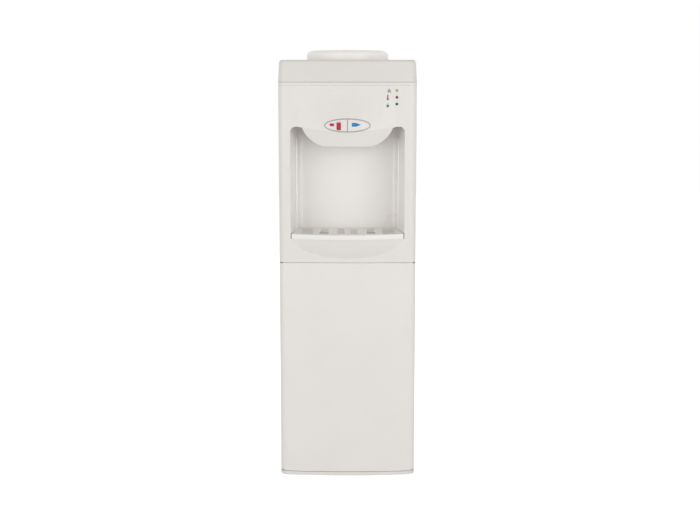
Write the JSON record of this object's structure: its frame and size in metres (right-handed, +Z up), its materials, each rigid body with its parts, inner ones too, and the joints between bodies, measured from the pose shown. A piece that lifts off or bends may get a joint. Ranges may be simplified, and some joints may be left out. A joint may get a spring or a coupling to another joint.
{
  "type": "water cooler",
  "caption": "Upright water cooler with a bottle seat on top, hot and cold buttons over a dispensing bay with a drip tray, and a hinged storage door below.",
  "frame": {"origin": "middle of the footprint, on the floor", "axes": "+Z up; the front with the buttons and the door faces -Y; +X is to the right of someone facing the front"},
  "size_m": [0.358, 0.358, 1.05],
  "materials": {
    "white_abs": "moulded white ABS, satin",
    "painted_steel": "white powder coat on sheet steel",
    "liner_plastic": "vacuum-formed white polystyrene",
    "food_plastic": "natural white polypropylene",
    "rubber": "black moulded rubber",
    "gasket_rubber": "pale grey magnetic seal",
    "silicone": "translucent white silicone tube",
    "steel": "stainless steel",
    "zinc_steel": "zinc-plated steel",
    "foam": "expanded polystyrene",
    "copper": "bare copper tube",
    "black_paint": "black paint on steel",
    "bezel_grey": "dark grey moulded plastic",
    "button_plastic": "light grey moulded plastic",
    "lock_red": "red moulded plastic",
    "lamp_yellow": "yellow lamp lens",
    "lamp_red": "red lamp lens",
    "lamp_green": "green lamp lens",
    "board": "green circuit board",
    "black_plastic": "black moulded plastic",
    "switch_red": "red rocker",
    "switch_green": "green rocker",
    "blue_plastic": "blue moulded plastic"
  },
  "bodies": {
    "cabinet": {"base_tray": "white_abs", "rubber_feet": "rubber", "left_side_panel": "painted_steel", "right_side_panel": "painted_steel", "back_panel": "painted_steel", "mid_deck": "zinc_steel", "tank_shelf": "zinc_steel", "cabinet_liner": "liner_plastic", "front_panel": "white_abs", "alcove_liner": "white_abs", "tap_cover": "white_abs", "button_bezel": "bezel_grey", "power_led": "lamp_yellow", "heating_led": "lamp_red", "cooling_led": "lamp_green", "led_board": "board", "top_cover": "white_abs", "hot_tap_spring": "steel", "cold_tap_spring": "steel", "hot_tap_body": "food_plastic", "cold_tap_body": "food_plastic", "door_magnet": "black_plastic", "hinge_brackets": "zinc_steel", "hinge_pins": "steel", "cold_tank": "steel", "cold_tank_insulation": "foam", "evaporator_coil": "copper", "hot_tank": "steel", "hot_tank_insulation": "foam", "heater_band": "steel", "thermostats": "black_plastic", "cold_water_tube": "silicone", "hot_water_tube": "silicone", "drain_spout": "food_plastic", "compressor": "black_paint", "compressor_mounts": "rubber", "condenser": "black_paint", "condenser_brackets": "black_plastic", "filter_drier": "copper", "refrigerant_lines": "copper", "switch_plate": "white_abs", "power_inlet": "black_plastic", "rear_screws": "zinc_steel"},
    "seat": {"bottle_collar": "white_abs", "bottle_seat": "food_plastic", "bottle_spike": "food_plastic"},
    "hot_button": {"hot_button": "button_plastic"},
    "child_lock": {"child_lock": "lock_red"},
    "cold_button": {"cold_button": "button_plastic"},
    "hot_stem": {"hot_tap_stem": "food_plastic"},
    "cold_stem": {"cold_tap_stem": "food_plastic"},
    "drip_tray": {"drip_tray": "white_abs"},
    "drip_grille": {"drip_grille": "white_abs"},
    "door": {"door_panel": "white_abs", "door_liner": "liner_plastic", "door_gasket": "gasket_rubber", "door_strike": "zinc_steel"},
    "drain_cap": {"drain_cap": "food_plastic"},
    "heating_switch": {"heating_switch": "switch_red"},
    "cooling_switch": {"cooling_switch": "switch_green"}
  },
  "joints": [
    {"name": "door_hinge", "type": "hinge", "parent": "cabinet", "child": "door", "pos_m": [0.157, -0.1365, 0.275], "axis": [0, 0, 1], "range_deg": [0, 110]},
    {"name": "hot_button_press", "type": "slide", "parent": "cabinet", "child": "hot_button", "axis": [0, 1, 0], "range_m": [0, 0.004], "stiffness_N_per_m": 600, "springref_m": -0.001},
    {"name": "hot_stem_slide", "type": "slide", "parent": "cabinet", "child": "hot_stem", "axis": [0, 1, 0], "range_m": [0, 0.004], "stiffness_N_per_m": 300, "springref_m": -0.001, "deforming": ["hot_tap_spring"]},
    {"name": "child_lock_slide", "type": "slide", "parent": "hot_button", "child": "child_lock", "axis": [0, 0.1272, 0.9919], "range_m": [0, 0.003], "stiffness_N_per_m": 120, "springref_m": -0.001},
    {"name": "cold_button_press", "type": "slide", "parent": "cabinet", "child": "cold_button", "axis": [0, 1, 0], "range_m": [0, 0.004], "stiffness_N_per_m": 600, "springref_m": -0.001},
    {"name": "cold_stem_slide", "type": "slide", "parent": "cabinet", "child": "cold_stem", "axis": [0, 1, 0], "range_m": [0, 0.004], "stiffness_N_per_m": 300, "springref_m": -0.001, "deforming": ["cold_tap_spring"]},
    {"name": "bottle_seat_lift", "type": "slide", "parent": "cabinet", "child": "seat", "axis": [0, 0, 1], "range_m": [0, 0.14]},
    {"name": "drip_tray_lift", "type": "slide", "parent": "cabinet", "child": "drip_tray", "axis": [0, 0, 1], "range_m": [0, 0.06]},
    {"name": "drip_grille_lift", "type": "slide", "parent": "drip_tray", "child": "drip_grille", "axis": [0, 0, 1], "range_m": [0, 0.04]},
    {"name": "drain_cap_pull", "type": "slide", "parent": "cabinet", "child": "drain_cap", "axis": [0, 1, 0], "range_m": [0, 0.02]},
    {"name": "heating_switch_rock", "type": "hinge", "parent": "cabinet", "child": "heating_switch", "pos_m": [-0.13, 0.15, 0.8675], "axis": [1, 0, 0], "range_deg": [-16, 0]},
    {"name": "cooling_switch_rock", "type": "hinge", "parent": "cabinet", "child": "cooling_switch", "pos_m": [-0.13, 0.15, 0.8335], "axis": [1, 0, 0], "range_deg": [-16, 0]}
  ],
  "couplings": [
    {"joint": "hot_stem_slide", "follows": "hot_button_press", "ratio": 1},
    {"joint": "cold_stem_slide", "follows": "cold_button_press", "ratio": 1}
  ]
}
